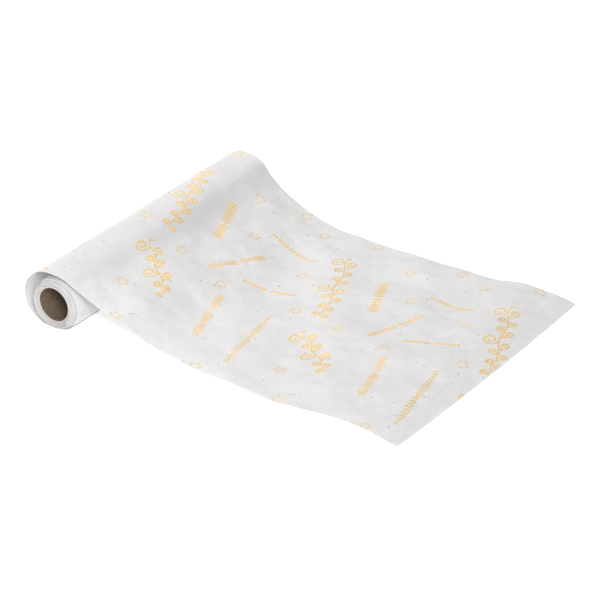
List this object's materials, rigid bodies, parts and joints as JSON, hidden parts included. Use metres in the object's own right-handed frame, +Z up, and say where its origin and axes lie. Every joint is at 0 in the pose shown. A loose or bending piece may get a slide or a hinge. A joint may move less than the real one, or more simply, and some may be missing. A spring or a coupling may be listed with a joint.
{
  "type": "wrapping paper roll",
  "caption": "Short roll of white wrapping web on a cardboard core, its gold printed free end paid out from the top of the roll and lying flat.",
  "frame": {"origin": "middle of the part's footprint, on the table it lies on", "axes": "+X from the roll towards the web's cut end, Y along the roll's axis, +Z up"},
  "size_m": [0.4066, 0.3, 0.056],
  "materials": {
    "core_board": "matt brown spiral-wound board",
    "web": "soft matt white fibrous web with scattered gold foil print",
    "foil_print": "thin stamped gold foil, slightly worn, on the web's outer face"
  },
  "bodies": {
    "web": {"slack_turns": "web", "outer_turn": "web", "paid_out_slope": "web", "paid_out_flat": "web"},
    "roll": {"core_inner_ply": "core_board", "core_middle_ply": "core_board", "core_outer_ply": "core_board", "tight_turns": "web"}
  },
  "joints": [
    {"name": "roll_turn", "type": "hinge", "parent": "web", "child": "roll", "pos_m": [-0.16875, 0, 0.0241], "axis": [0, 1, 0], "continuous": true}
  ]
}
